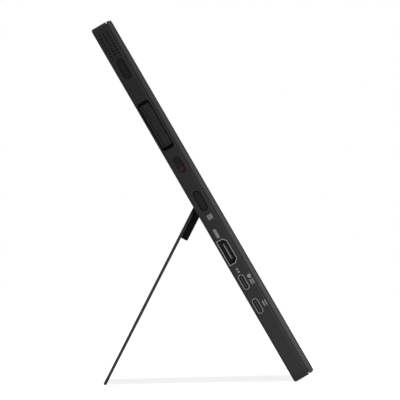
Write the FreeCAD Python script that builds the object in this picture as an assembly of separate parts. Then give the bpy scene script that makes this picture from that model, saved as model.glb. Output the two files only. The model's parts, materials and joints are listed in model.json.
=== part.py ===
"""Portable 15.6 inch monitor that stands on a fold-out rear stand, as an assembly of separate pieces.

Everything is drawn in the monitor's own upright frame: x runs to the viewer's right, z up along the
body from its lower end, and depth forward from the flat back (y is minus depth). The stand is drawn
folded, swung open about its hinge, and the whole is then leaned back until it stands on the floor.
Sizes are in millimetres.
"""

import FreeCAD, Part
import math
import os

Vector = FreeCAD.Vector

# Shared clearances
overrun = 1.0           # how far a cutting tool runs past a face
slip = 0.05             # between pieces that are fixed together
tiny = 1e-6

# Display module and the borders round it
active_width = 344.2
active_height = 193.6
module_side_margin = 3.2
module_top_margin = 2.8
module_bottom_margin = 8.9
cell_thickness = 1.1
film_thickness = 0.3
guide_thickness = 0.8
reflector_thickness = 0.2
tray_thickness = 0.4
led_bar_height = 3.0
driver_board_height = 12.0
driver_board_thickness = 0.73
driver_board_width = 228.0
driver_board_rise = 2.5
driver_board_gap = 20.0
module_side_room = 2.1
chin_height = 9.5

# Case
side_wall = 1.6
back_wall = 1.0
corner_radius = 4.0
back_edge_radius = 1.2
glass_thickness = 0.8
glass_inset = 0.6
glass_edge_radius = 0.75
bezel_depth = 2.4
bezel_inset = 0.2
bezel_edge_radius = 0.4
parting_gap = 0.35
parting_step = 0.8
module_room = 0.2
lip_length = 1.0
lip_thickness = 1.0
lip_gap = 0.1
lip_end_room = 12.0

# Case screws and the bosses that take them
boss_radius = 2.0
boss_room = 0.4
case_screw_edge = 2.8
case_screw_rise = 5.0
case_screw_end = 18.0
case_screw_count = 5
case_screw_radius = 0.7
case_screw_bite = 4.0
case_head_radius = 1.2
case_head_height = 0.6

# Cross recess in the screw heads
recess_length = 1.5
recess_width = 0.35
recess_sink = 0.3

# Controls and sockets on the left side, as a chain of steps down from the top end
control_depth = 5.0
top_button_drop = 27.1
rocker_step = 34.9
slider_step = 24.8
menu_step = 22.6
hdmi_step = 31.1
usb_first_step = 18.7
usb_second_step = 14.9

# Push buttons
button_length = 12.2
button_width = 4.3
cap_gap = 0.45
cap_sink = 0.25
cap_edge_radius = 0.3
cap_dish_depth = 0.4
cap_dish_share = 0.8
flange_lip = 0.5
flange_thickness = 0.8
stem_radius = 1.2
stem_length = 2.2
button_travel = 0.5
press_room = 0.08
plunger_radius = 0.8
plunger_head = 0.5
plunger_gap = 0.06
switch_base_length = 4.5
switch_base_width = 3.2
switch_base_height = 2.2

# Rocker key in its well
well_length = 29.5
well_width = 7.1
well_radius = 1.6
key_length = 25.6
key_width = 5.2
key_radius = 1.2
key_depth = 3.6
key_offset = 0.05
key_cap_width = 5.9
key_cap_thickness = 1.2
key_edge_radius = 0.35
key_groove_inset = 1.2
key_groove_width = 0.5
key_groove_sink = 0.85
key_dish_depth = 0.45
key_dish_share = 0.62
rocker_pin_radius = 0.6
rocker_pin_sink = 2.8
rocker_pin_gap = 0.04
rocker_ear_thickness = 0.7
rocker_ear_gap = 0.15
rocker_ear_length = 5.0
rocker_base_height = 1.4
rocker_reach = 9.0
rocker_post_radius = 1.0
rocker_post_gap = 0.6
rocker_switch_height = 1.7
rocker_dome_height = 0.3

# Slide switch
slot_length = 9.9
slot_width = 4.2
knob_length = 6.4
knob_gap = 0.2
knob_sink = 0.4
knob_rib_height = 0.25
knob_rib_width = 0.5
knob_rib_count = 3
slider_flange_thickness = 0.6
slider_flange_lip = 0.5
slider_stem_length = 2.0
slider_stem_width = 2.0
slider_stem_gap = 0.2
red_mark_thickness = 0.15
red_mark_margin = 0.15
slide_switch_length = 12.0
slide_switch_width = 5.0
slide_switch_height = 3.0
slide_switch_slot = 1.4

# Speaker holes and speakers
hole_radius = 0.5
lower_hole_radius = 0.3
hole_column_pitch = 2.36
hole_row_pitch = 1.816
hole_columns = 3
upper_rows = 9
lower_rows = 6
plain_side_rows = 23
upper_hole_gap = 1.3
lower_hole_gap = 2.9
hole_offset = 0.2
speaker_rim = 0.1
speaker_height = 6.8
speaker_cone_depth = 1.0
speaker_cone_share = 0.7

# Sockets: mouth sizes are those of the standard receptacles
hdmi_length = 15.0
hdmi_height = 5.6
hdmi_chamfer = 1.9
hdmi_depth = 3.95
hdmi_reach = 11.5
hdmi_wall = 0.35
hdmi_tongue_length = 9.8
hdmi_tongue_height = 1.3
hdmi_tongue_offset = 0.35
hdmi_plug_depth = 8.0
usb_length = 8.94
usb_height = 3.26
usb_depth = 3.3
usb_reach = 7.4
usb_wall = 0.3
usb_tongue_length = 6.69
usb_tongue_height = 0.7
usb_plug_depth = 5.0
usb_leg_length = 1.2
usb_leg_thickness = 0.4
usb_leg_inset = 1.6
socket_sink = 0.1
port_gap = 0.15

# Boards and what they carry
board_thickness = 1.0
board_width = 40.0
board_above = 13.5
board_below = 5.9
board_edge_gap = 0.2
board_post_radius = 2.2
board_screw_radius = 0.7
board_screw_bite = 3.0
board_head_radius = 1.3
board_head_height = 0.55
board_post_inset = 3.0
board_post_reach = 19.0
chip_size = 14.0
chip_height = 1.2
can_width = 24.0
can_height = 2.4
can_wall = 0.2
can_edge_gap = 1.0
control_board_thickness = 1.0
control_board_height = 6.8
control_board_below = 10.0
control_board_above = 5.0
rib_width = 1.2
rib_height = 2.5
rib_thickness = 2.0
ribbon_width = 10.0
ribbon_inset = 5.0
ribbon_thickness = 0.12
lead_radius = 0.45
lead_bend = 2.0
lead_clear = 4.0
lead_pitch = 2.6

# Stand and its two friction hinges
hinge_rise = 108.8
open_angle = 57.06
stand_margin = 29.0
plate_thickness = 1.6
plate_sink = 0.1
plate_air = 0.15
plate_gap = 0.4
plate_corner = 3.0
tab_drop = 2.0
tab_head = 0.2
foot_gap = 0.1
foot_height = 3.0
foot_inset = 2.0
recess_floor = 0.9
barrel_radius = 1.4
barrel_gap = 0.6
hinge_pin_radius = 0.8
hinge_pin_gap = 0.04
hinge_head_radius = 1.25
hinge_head_length = 0.6
hinge_nut_length = 1.0
hinge_inset = 45.0
block_width = 36.0
block_length = 18.8
block_depth = 5.4
block_chamfer = 1.4
block_edge_radius = 0.5
swing_room = 0.8
washer_radius = 1.2
washer_thickness = 0.5
ear_thickness = 1.6
ear_foot_length = 7.0
ear_foot_drop = 6.5
ear_foot_thickness = 0.9
ear_end_gap = 0.6
pocket_air = 0.35
pocket_wall = 0.8
hinge_boss_radius = 1.8
hinge_boss_height = 0.9
hinge_screw_radius = 0.7
hinge_screw_length = 2.3
hinge_screw_head_radius = 1.3
hinge_screw_head_height = 0.5
stand_screw_radius = 0.7
stand_screw_bite = 0.9
stand_screw_head_radius = 1.3
stand_screw_head_height = 0.6
stand_screw_reach = 11.0

# Places worked out from the sizes above
module_width = active_width + 2 * module_side_margin
module_height = active_height + module_top_margin + module_bottom_margin
top_bar = case_screw_edge + boss_radius + boss_room
body_width = module_width + 2 * (side_wall + module_side_room)
body_height = chin_height + module_height + top_bar
half_width = body_width / 2
module_low = chin_height
module_high = chin_height + module_height
module_half = module_width / 2

board_back = hdmi_depth + hdmi_height / 2
board_front = board_back + board_thickness
tray_back = board_front + ribbon_thickness + driver_board_thickness
reflector_back = tray_back + tray_thickness
guide_back = reflector_back + reflector_thickness
film_back = guide_back + guide_thickness
cell_back = film_back + film_thickness
glass_back = cell_back + cell_thickness
body_thickness = glass_back + glass_thickness
rim_depth = glass_back - bezel_depth

left_face = -half_width
left_wall = left_face + side_wall
top_button_rise = body_height - top_button_drop
rocker_rise = top_button_rise - rocker_step
slider_rise = rocker_rise - slider_step
menu_rise = slider_rise - menu_step
hdmi_rise = menu_rise - hdmi_step
usb_first_rise = hdmi_rise - usb_first_step
usb_second_rise = usb_first_rise - usb_second_step

flange_back = left_wall + slip + flange_thickness
stem_end = flange_back + stem_length
switch_top = stem_end + button_travel + press_room
control_board_left = switch_top + switch_base_height
control_board_right = control_board_left + control_board_thickness
control_board_low = menu_rise - control_board_below
control_board_high = top_button_rise + control_board_above

stand_half = half_width - stand_margin
hinge_depth = plate_sink + barrel_radius
plate_back = plate_sink + plate_thickness
plate_top = hinge_rise - tab_drop
tab_top = hinge_rise - barrel_radius - tab_head
recess_depth = plate_back + plate_air
block_half = block_width / 2
block_back = plate_sink + block_depth
washer_gap = washer_thickness + 2 * slip
ear_near = block_half + washer_gap
ear_far = ear_near + ear_thickness
pocket_half = ear_far + ear_foot_length + ear_end_gap
pocket_depth = block_back + pocket_air
pocket_low = hinge_rise - block_length - swing_room
pocket_high = hinge_rise + barrel_radius + barrel_gap
recess_top = pocket_high
hinge_centres = [side * (stand_half - hinge_inset) for side in (-1, 1)]


def at(x, depth, z):
    return Vector(x, -depth, z)


def outline(low, high, radius, place):
    """Rectangle with round corners, as a wire; place maps its two coordinates to a point."""
    (u0, v0), (u1, v1) = low, high
    bend = radius * (1 - math.sqrt(0.5))
    corners = [
        ((u1 - radius, v0), (u1 - bend, v0 + bend), (u1, v0 + radius)),
        ((u1, v1 - radius), (u1 - bend, v1 - bend), (u1 - radius, v1)),
        ((u0 + radius, v1), (u0 + bend, v1 - bend), (u0, v1 - radius)),
        ((u0, v0 + radius), (u0 + bend, v0 + bend), (u0 + radius, v0)),
    ]
    edges = []
    for here, there in zip(corners, corners[1:] + corners[:1]):
        start, middle, end = (place(*point) for point in here)
        edges.append(Part.Arc(start, middle, end).toShape())
        following = place(*there[0])
        if (following - end).Length > tiny:
            edges.append(Part.LineSegment(end, following).toShape())
    return Part.Wire(edges)


def slab(x0, x1, z0, z1, radius, depth0, depth1):
    """Plate parallel to the screen with round outline corners."""
    wire = outline((x0, z0), (x1, z1), radius, lambda u, v: at(u, depth0, v))
    return Part.Face(wire).extrude(Vector(0, depth0 - depth1, 0))


def side_slab(depth, z, width, length, radius, x0, x1):
    """Block with round corners that runs along x, centred at a depth and a height."""
    low = (depth - width / 2, z - length / 2)
    high = (depth + width / 2, z + length / 2)
    wire = outline(low, high, radius, lambda u, v: at(x0, u, v))
    return Part.Face(wire).extrude(Vector(x1 - x0, 0, 0))


def block(x0, x1, depth0, depth1, z0, z1):
    return Part.makeBox(x1 - x0, depth1 - depth0, z1 - z0, at(x0, depth1, z0))


def post(x, z, radius, depth0, depth1):
    """Round bar along the depth."""
    return Part.makeCylinder(radius, depth1 - depth0, at(x, depth0, z), Vector(0, -1, 0))


def rod(depth, z, radius, x0, x1):
    """Round bar along x."""
    return Part.makeCylinder(radius, x1 - x0, at(x0, depth, z), Vector(1, 0, 0))


def profile(points, x0, x1):
    """Prism along x over a polygon of (depth, height) points."""
    corners = [at(x0, depth, z) for depth, z in points]
    return Part.Face(Part.makePolygon(corners + corners[:1])).extrude(Vector(x1 - x0, 0, 0))


def group(shapes):
    return Part.makeCompound(shapes)


def dished(shape, face_x, depth, z, length, width, sag):
    """Cut a shallow finger dish, round along the height, into a side face."""
    radius = (length * length / 4 + sag * sag) / (2 * sag)
    centre = at(face_x + sag - radius, depth + width, z)
    return shape.cut(Part.makeCylinder(radius, 2 * width, centre, Vector(0, 1, 0)))


def rounded_rim(shape, face_x, radius):
    """Round the edges that lie on the outer side face."""
    rim = [e for e in shape.Edges if all(abs(v.Point.x - face_x) < tiny for v in e.Vertexes)]
    return shape.makeFillet(radius, rim)


def rounded_front(shape, depth, radius):
    """Round the edges that lie on the face towards the viewer."""
    front = [e for e in shape.Edges if all(abs(v.Point.y + depth) < tiny for v in e.Vertexes)]
    return shape.makeFillet(radius, front)


def hdmi_prism(grow, x0, x1):
    """Socket outline with two chamfered corners towards the screen, grown by an offset."""
    half = hdmi_length / 2 + grow
    wide = hdmi_depth - hdmi_height / 2 - grow
    narrow = hdmi_depth + hdmi_height / 2 + grow
    cut = hdmi_chamfer + grow * (2 - math.sqrt(2))
    points = [
        (wide, hdmi_rise - half),
        (narrow - cut, hdmi_rise - half),
        (narrow, hdmi_rise - half + cut),
        (narrow, hdmi_rise + half - cut),
        (narrow - cut, hdmi_rise + half),
        (wide, hdmi_rise + half),
    ]
    return profile(points, x0, x1)


def usb_prism(z, grow, x0, x1):
    width = usb_height + 2 * grow
    return side_slab(usb_depth, z, width, usb_length + 2 * grow, width / 2, x0, x1)


def case_screw_places():
    """(x, height) of each case screw, in a row along the top and a row along the bottom."""
    span = body_width - 2 * case_screw_end
    pitch = span / (case_screw_count - 1)
    columns = [-span / 2 + pitch * i for i in range(case_screw_count)]
    rows = (body_height - case_screw_edge, case_screw_rise)
    return [(x, z) for z in rows for x in columns]


def board_edges():
    """Left, right, lower and upper edge of the main board."""
    left = left_wall + board_edge_gap
    return left, left + board_width, usb_second_rise - board_below, hdmi_rise + board_above


def board_post_places():
    left, right, low, high = board_edges()
    near = left + board_post_reach
    return [(near, low + board_post_inset), (near, high - board_post_inset),
            (right - board_post_inset, (low + high) / 2)]


def rib_places():
    """Heights of the slotted ribs that hold the control board."""
    below_menu = (control_board_low + menu_rise - switch_base_length / 2) / 2
    return [below_menu, (menu_rise + slider_rise) / 2, (slider_rise + rocker_rise) / 2]


def hole_rows():
    """Heights of the speaker-hole rows above and below the top button."""
    first_up = top_button_rise + button_length / 2 + upper_hole_gap
    first_down = top_button_rise - button_length / 2 - lower_hole_gap
    above = [first_up + hole_row_pitch * i for i in range(upper_rows)]
    below = [first_down - hole_row_pitch * i for i in range(lower_rows)]
    return above, below


def plain_rows():
    """Heights of the unbroken rows on the right side."""
    highest = hole_rows()[0][-1]
    return [highest - hole_row_pitch * i for i in range(plain_side_rows)]


def speaker_holes(rows, radius, x0, x1):
    middle = control_depth - hole_offset
    first = middle - hole_column_pitch * (hole_columns - 1) / 2
    depths = [first + hole_column_pitch * i for i in range(hole_columns)]
    return [rod(depth, z, radius, x0, x1) for z in rows for depth in depths]


def rear_housing():
    shell = slab(-half_width, half_width, 0, body_height, corner_radius, 0, rim_depth)
    back_edges = [e for e in shell.Edges if all(abs(v.Point.y) < tiny for v in e.Vertexes)]
    shell = shell.makeFillet(back_edge_radius, back_edges)
    hollow = slab(-half_width + side_wall, half_width - side_wall, side_wall, body_height - side_wall,
                  corner_radius - side_wall, back_wall, rim_depth + overrun)
    shell = shell.cut(hollow)
    return shell.fuse(housing_supports()).cut(housing_cuts()).removeSplitter()


def housing_supports():
    """What stands up inside the shell: recess floor, hinge pockets, bosses, posts and ribs."""
    recess_edge = stand_half + plate_gap + recess_floor
    added = [block(-recess_edge, recess_edge, back_wall, recess_depth + recess_floor,
                   0, recess_top + recess_floor)]
    for centre in hinge_centres:
        reach = pocket_half + pocket_wall
        added.append(block(centre - reach, centre + reach, back_wall, pocket_depth + pocket_wall,
                           pocket_low - pocket_wall, pocket_high + pocket_wall))
        for x, z in hinge_screw_places(centre):
            added.append(post(x, z, hinge_boss_radius, pocket_depth,
                              pocket_depth + pocket_wall + hinge_boss_height))
    added += [post(x, z, boss_radius, back_wall, rim_depth) for x, z in case_screw_places()]
    added += [post(x, z, board_post_radius, back_wall, board_back) for x, z in board_post_places()]
    for z in rib_places():
        added.append(block(control_board_left - rib_width, control_board_right + rib_width, back_wall,
                           back_wall + rib_height, z - rib_thickness / 2, z + rib_thickness / 2))
    return added


def housing_cuts():
    """Everything that is cut out of the shell."""
    recess_half = stand_half + plate_gap
    out, through = left_face - overrun, left_wall + overrun
    cuts = [block(-recess_half, recess_half, -overrun, recess_depth, -overrun, recess_top)]
    for centre in hinge_centres:
        cuts.append(block(centre - pocket_half, centre + pocket_half, -overrun, pocket_depth,
                          pocket_low, pocket_high))
        for x, z in hinge_screw_places(centre):
            deep = pocket_depth - ear_foot_thickness + hinge_screw_length + slip
            cuts.append(post(x, z, hinge_screw_radius + slip, 0, deep))
    for x, z in case_screw_places():
        cuts.append(post(x, z, case_screw_radius + slip, rim_depth - case_screw_bite, rim_depth + overrun))
    for x, z in board_post_places():
        cuts.append(post(x, z, board_screw_radius + slip, board_back - board_screw_bite,
                         board_back + overrun))
    slot = control_board_left - slip, control_board_right + slip
    cuts.append(block(*slot, back_wall, back_wall + rib_height + overrun, control_board_low,
                      control_board_high))
    for z in (top_button_rise, menu_rise):
        cuts.append(side_slab(control_depth, z, button_width, button_length, button_width / 2, out, through))
    cuts.append(side_slab(well_depth(), rocker_rise, well_width, well_length, well_radius, out, through))
    cuts.append(side_slab(control_depth, slider_rise, slot_width, slot_length, slot_width / 2, out, through))
    cuts.append(hdmi_prism(port_gap, out, through))
    cuts += [usb_prism(z, port_gap, out, through) for z in (usb_first_rise, usb_second_rise)]
    above, below = hole_rows()
    cuts += speaker_holes(above, hole_radius, out, through)
    cuts += speaker_holes(below, lower_hole_radius, out, through)
    cuts += speaker_holes(plain_rows(), hole_radius, half_width - side_wall - overrun, half_width + overrun)
    return cuts


def front_bezel():
    """Frame behind the glass: an outer band, a narrower neck that leaves the parting groove, two lips."""
    def ring(inset, depth0, depth1):
        return slab(-half_width + inset, half_width - inset, inset, body_height - inset,
                    corner_radius - inset, depth0, depth1)

    band = ring(bezel_inset, rim_depth + parting_gap, glass_back)
    frame = rounded_front(band, glass_back, bezel_edge_radius)
    frame = frame.fuse(ring(bezel_inset + parting_step, rim_depth, rim_depth + parting_gap))
    lip_half = half_width - lip_end_room
    for low in (side_wall + lip_gap, body_height - side_wall - lip_gap - lip_thickness):
        frame = frame.fuse(block(-lip_half, lip_half, rim_depth - lip_length, rim_depth,
                                 low, low + lip_thickness))
    cuts = [block(-module_half - module_room, module_half + module_room, rim_depth - lip_length,
                  glass_back + overrun, module_low - module_room, module_high + module_room)]
    for x, z in case_screw_places():
        cuts.append(post(x, z, boss_radius + slip, rim_depth - lip_length - overrun, rim_depth))
        cuts.append(post(x, z, case_screw_radius + slip, rim_depth - overrun, glass_back + overrun))
        cuts.append(post(x, z, case_head_radius + slip, glass_back - case_head_height - slip,
                         glass_back + overrun))
    return frame.cut(cuts).removeSplitter()


def cover_glass():
    pane = slab(-half_width + glass_inset, half_width - glass_inset, glass_inset,
                body_height - glass_inset, corner_radius - glass_inset, glass_back, body_thickness)
    return rounded_front(pane, body_thickness, glass_edge_radius)


def screw(x, z, shank_radius, shank0, shank1, head_radius, head0, head1):
    """Pan-head screw along the depth with a cross recess in the head's outer face."""
    body = post(x, z, shank_radius, shank0, shank1).fuse(post(x, z, head_radius, head0, head1))
    outer = head1 if head1 > max(shank0, shank1) else head0
    low, high = outer - recess_sink, outer + recess_sink
    long, thin = recess_length / 2, recess_width / 2
    cross = [block(x - a, x + a, low, high, z - b, z + b) for a, b in ((long, thin), (thin, long))]
    return body.cut(cross).removeSplitter()


def case_screws():
    head = glass_back - slip - case_head_height
    return group([screw(x, z, case_screw_radius, rim_depth - case_screw_bite + slip, head,
                        case_head_radius, head, head + case_head_height)
                  for x, z in case_screw_places()])


def display_pieces():
    """Layers of the display module, from the cell at the glass back to the tray."""
    inner_half = module_half - tray_thickness
    inner_low = module_low + tray_thickness
    inner_high = module_high - tray_thickness
    guide_low = inner_low + led_bar_height + slip
    tray = block(-module_half, module_half, tray_back, cell_back, module_low, module_high)
    tray = tray.cut(block(-inner_half, inner_half, reflector_back, cell_back + overrun,
                          inner_low, inner_high))
    layer_half, layer_high = inner_half - slip, inner_high - slip
    board_left, board_low = driver_board_corner()
    return {
        "lcd_cell": block(-module_half, module_half, cell_back, glass_back, module_low, module_high),
        "diffuser_film": block(-layer_half, layer_half, film_back, cell_back, inner_low + slip, layer_high),
        "light_guide": block(-layer_half, layer_half, guide_back, film_back, guide_low, layer_high),
        "reflector_sheet": block(-layer_half, layer_half, reflector_back, guide_back, guide_low, layer_high),
        "led_bar": block(-layer_half, layer_half, reflector_back, film_back, inner_low, guide_low - slip),
        "panel_tray": tray,
        "panel_driver_board": block(board_left, board_left + driver_board_width,
                                    tray_back - driver_board_thickness, tray_back,
                                    board_low, board_low + driver_board_height),
    }


def driver_board_corner():
    """Left and lower edge of the panel's driver board, which starts clear of the main board."""
    return board_edges()[1] + driver_board_gap, module_low + driver_board_rise


def main_board_pieces():
    left, right, low, high = board_edges()
    posts = board_post_places()
    board = block(left, right, board_back, board_front, low, high)
    board = board.cut([post(x, z, board_screw_radius + slip, board_back - overrun, board_front + overrun)
                       for x, z in posts])
    can_right = right - can_edge_gap
    can_left = can_right - can_width
    can_low = (low + high) / 2 + board_post_radius + can_edge_gap
    can_high = high - board_post_inset - board_post_radius - can_edge_gap
    can = block(can_left, can_right, board_back - can_height, board_back, can_low, can_high)
    can = can.cut(block(can_left + can_wall, can_right - can_wall, board_back - can_height + can_wall,
                        board_back + overrun, can_low + can_wall, can_high - can_wall))
    chip_x, chip_z = (can_left + can_right) / 2, (can_low + can_high) / 2
    screws = group([screw(x, z, board_screw_radius, board_back - board_screw_bite + slip, board_front,
                          board_head_radius, board_front, board_front + board_head_height)
                    for x, z in posts])
    return {
        "main_board": board,
        "shield_can": can,
        "scaler_chip": block(chip_x - chip_size / 2, chip_x + chip_size / 2, board_back - chip_height,
                             board_back, chip_z - chip_size / 2, chip_z + chip_size / 2),
        "board_screws": screws,
        "display_ribbon": display_ribbon(),
    }


def display_ribbon():
    """Flat L-shaped flex between the main board's front face and the panel driver board's rear face."""
    _, right, low, high = board_edges()
    (near, _), _, (far, _) = board_post_places()
    driver_left, driver_low = driver_board_corner()
    leg = (near + far - ribbon_width) / 2
    deep = board_front + ribbon_thickness
    upright = block(leg, leg + ribbon_width, board_front, deep, driver_low, (low + high) / 2)
    across = block(leg, driver_left + ribbon_inset, board_front, deep, driver_low, driver_low + ribbon_width)
    return upright.fuse(across).removeSplitter()


def hdmi_pieces():
    mouth = left_face + socket_sink
    back = left_face + hdmi_reach
    shell = hdmi_prism(0, mouth, back).cut(hdmi_prism(-hdmi_wall, mouth - overrun, back + overrun))
    floor = left_face + socket_sink + hdmi_plug_depth
    insulator = hdmi_prism(-hdmi_wall - slip, floor, back)
    tongue = side_slab(hdmi_depth + hdmi_tongue_offset, hdmi_rise, hdmi_tongue_height, hdmi_tongue_length,
                       hdmi_tongue_height / 4, mouth + hdmi_wall, floor)
    return {"hdmi_shell": shell, "hdmi_tongue": insulator.fuse(tongue).removeSplitter()}


def usb_shell(z):
    """Drawn tube with four legs that stand on the main board."""
    mouth = left_face + socket_sink
    back = left_face + usb_reach
    tube = usb_prism(z, 0, mouth, back)
    legs = []
    for x in (left_wall + board_edge_gap + slip, back - usb_leg_length):
        for side in (-1, 1):
            centre = z + side * (usb_length / 2 - usb_leg_inset)
            legs.append(block(x, x + usb_leg_length, usb_depth, board_back,
                              centre - usb_leg_thickness / 2, centre + usb_leg_thickness / 2))
    return tube.fuse(legs).cut(usb_prism(z, -usb_wall, mouth - overrun, back + overrun)).removeSplitter()


def usb_tongue(z):
    mouth = left_face + socket_sink
    floor = mouth + usb_plug_depth
    insulator = usb_prism(z, -usb_wall - slip, floor, left_face + usb_reach)
    tongue = side_slab(usb_depth, z, usb_tongue_height, usb_tongue_length, usb_tongue_height / 4,
                       mouth + usb_wall, floor)
    return insulator.fuse(tongue).removeSplitter()


def push_button(z, dish):
    """Cap with a retaining flange and a stem."""
    face = left_face + cap_sink
    width, length = button_width - 2 * cap_gap, button_length - 2 * cap_gap
    head = side_slab(control_depth, z, width, length, width / 2, face, left_wall + slip)
    if dish:
        head = dished(head, face, control_depth, z, length * cap_dish_share, width, cap_dish_depth)
    else:
        head = rounded_rim(head, face, cap_edge_radius)
    flange_width, flange_length = button_width + 2 * flange_lip, button_length + 2 * flange_lip
    flange = side_slab(control_depth, z, flange_width, flange_length, flange_width / 2,
                       left_wall + slip, flange_back)
    return head.fuse([flange, rod(control_depth, z, stem_radius, flange_back, stem_end)]).removeSplitter()


def switch_plunger(z):
    return rod(control_depth, z, plunger_radius, stem_end, switch_top + plunger_head)


def switch_base(z):
    """Push switch on the control board with the bore that its plunger slides in."""
    base = side_slab(control_depth, z, switch_base_width, switch_base_length, switch_base_width / 4,
                     switch_top, control_board_left)
    deep = switch_top + plunger_head + button_travel + slip
    return base.cut(rod(control_depth, z, plunger_radius + plunger_gap, switch_top - overrun, deep))


def well_depth():
    """Depth of the rocker well's centre line: its far side is flush with the back wall's inner face."""
    return back_wall + well_width / 2


def rocker_axis():
    """(x, depth) of the rocker's pivot: depth is that of the key's centre line."""
    return left_face + rocker_pin_sink, well_depth() + key_offset


def rocker_key():
    """Grooved cap with a finger dish, on a narrower body that turns between the bracket's ears."""
    pivot_x, depth = rocker_axis()
    under, back = left_face + key_cap_thickness, left_face + key_depth
    cap = side_slab(depth, rocker_rise, key_cap_width, key_length, key_radius, left_face, under)
    cap = rounded_rim(cap, left_face, key_edge_radius)
    cap = dished(cap, left_face, depth, rocker_rise, key_length * key_dish_share, key_cap_width,
                 key_dish_depth)
    groove = depth - key_cap_width / 2 + key_groove_inset
    cap = cap.cut(block(left_face - overrun, left_face + key_groove_sink, groove,
                        groove + key_groove_width, rocker_rise - key_length, rocker_rise + key_length))
    key = cap.fuse(side_slab(depth, rocker_rise, key_width, key_length, key_radius, under, back))
    post_end = control_board_left - rocker_switch_height - rocker_dome_height - rocker_post_gap
    for side in (-1, 1):
        key = key.fuse(rod(depth, rocker_rise + side * rocker_reach, rocker_post_radius, back, post_end))
    bore = post(pivot_x, rocker_rise, rocker_pin_radius + rocker_pin_gap, depth - key_width,
                depth + key_width)
    return key.cut(bore).removeSplitter()


def rocker_bracket():
    """Two ears on a base that sits on the control board and carries the rocker's pin."""
    pivot_x, depth = rocker_axis()
    half = rocker_ear_length / 2
    inner = key_width / 2 + rocker_ear_gap
    outer = inner + rocker_ear_thickness
    ear_top = left_wall + slip
    base = block(control_board_left - rocker_base_height, control_board_left, depth - outer, depth + outer,
                 rocker_rise - half, rocker_rise + half)
    ears = [block(ear_top, control_board_left, depth + low, depth + high,
                  rocker_rise - half, rocker_rise + half)
            for low, high in ((-outer, -inner), (inner, outer))]
    bore = post(pivot_x, rocker_rise, rocker_pin_radius + slip, depth - outer - overrun,
                depth + outer + overrun)
    return base.fuse(ears).cut(bore).removeSplitter()


def rocker_pin():
    pivot_x, depth = rocker_axis()
    reach = key_width / 2 + rocker_ear_gap + rocker_ear_thickness
    return post(pivot_x, rocker_rise, rocker_pin_radius, depth - reach, depth + reach)


def rocker_switches():
    """One low switch with a dome under each end of the key."""
    depth = rocker_axis()[1]
    top = control_board_left - rocker_switch_height
    solids = []
    for side in (-1, 1):
        z = rocker_rise + side * rocker_reach
        base = side_slab(depth, z, switch_base_width, switch_base_length, switch_base_width / 4,
                         top, control_board_left)
        solids.append(base.fuse(rod(depth, z, plunger_radius, top - rocker_dome_height, top)))
    return group(solids)


def slider_places():
    """Height of the knob's centre at rest, its travel and the flange's length."""
    travel = slot_length - knob_length - 2 * knob_gap
    centre = slider_rise + slot_length / 2 - knob_gap - knob_length / 2
    return centre, travel, slot_length + 2 * (travel + slider_flange_lip)


def slide_knob():
    """Finger knob on a flange that always covers the slot, with a stem to the switch."""
    centre, travel, flange_length = slider_places()
    face = left_face + knob_sink
    width = slot_width - 2 * knob_gap
    plate, back = left_wall + slip, left_wall + slip + slider_flange_thickness
    knob = side_slab(control_depth, centre, width, knob_length, width / 2, face, plate)
    rib_pitch = 2 * knob_rib_width
    ribs = []
    for i in range(knob_rib_count):
        z = centre + rib_pitch * (i - (knob_rib_count - 1) / 2)
        ribs.append(block(face - knob_rib_height, face, control_depth - width / 4,
                          control_depth + width / 4, z - knob_rib_width / 2, z + knob_rib_width / 2))
    flange_width = slot_width + 2 * slider_flange_lip
    flange = side_slab(control_depth, flange_centre(), flange_width, flange_length, flange_width / 4,
                       plate, back)
    stem_end_x = slide_switch_top() + slide_switch_slot - slip
    stem = block(back, stem_end_x, control_depth - slider_stem_width / 2,
                 control_depth + slider_stem_width / 2, centre - slider_stem_length / 2,
                 centre + slider_stem_length / 2)
    return knob.fuse(ribs + [flange, stem]).cut(red_mark(slip)).removeSplitter()


def flange_centre():
    """The flange is centred on the middle of the slot plus half the travel, so it covers both ends."""
    return slider_rise + slider_places()[1] / 2


def red_mark(grow=0):
    """Red field let into the flange, which shows below the knob when the knob is up."""
    centre, travel, _ = slider_places()
    high = centre - knob_length / 2 - red_mark_margin + grow
    low = high - travel + 2 * red_mark_margin - 2 * grow
    half = slot_width / 2 - red_mark_margin + grow
    face = left_wall + slip
    return block(face - grow, face + red_mark_thickness, control_depth - half, control_depth + half,
                 low, high)


def slide_switch_top():
    return control_board_left - slide_switch_height


def slide_switch():
    centre, travel, _ = slider_places()
    top = slide_switch_top()
    middle = centre - travel / 2
    body = block(top, control_board_left, control_depth - slide_switch_width / 2,
                 control_depth + slide_switch_width / 2, middle - slide_switch_length / 2,
                 middle + slide_switch_length / 2)
    half_slot = (slider_stem_length + travel) / 2 + slider_stem_gap
    half_width_slot = slider_stem_width / 2 + slider_stem_gap
    return body.cut(block(top - overrun, top + slide_switch_slot, control_depth - half_width_slot,
                          control_depth + half_width_slot, middle - half_slot, middle + half_slot))


def control_board():
    low = back_wall + slip
    return block(control_board_left, control_board_right, low, low + control_board_height,
                 control_board_low, control_board_high)


def control_ribbon():
    """Flat flex on the inner face of the control board, edge down on the main board."""
    high = board_edges()[3]
    return block(control_board_right, control_board_right + ribbon_thickness,
                 back_wall + rib_height + slip, board_back, high - ribbon_inset,
                 control_board_low + ribbon_inset)


def speaker(rows, wall, inner):
    """Speaker box behind a field of holes, with its cone set back from the wall."""
    depth = control_depth - hole_offset
    low = min(rows) - hole_radius - speaker_rim
    high = max(rows) + hole_radius + speaker_rim
    towards = 1 if inner > wall else -1
    x0, x1 = sorted((wall + slip * towards, inner - slip * towards))
    body = block(x0, x1, depth - speaker_height / 2, depth + speaker_height / 2, low, high)
    width = speaker_height * speaker_cone_share
    length = high - low - speaker_height + width
    front, floor = sorted((wall - overrun * towards, wall + (slip + speaker_cone_depth) * towards))
    return body.cut(side_slab(depth, (low + high) / 2, width, length, width / 4, front, floor))


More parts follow.
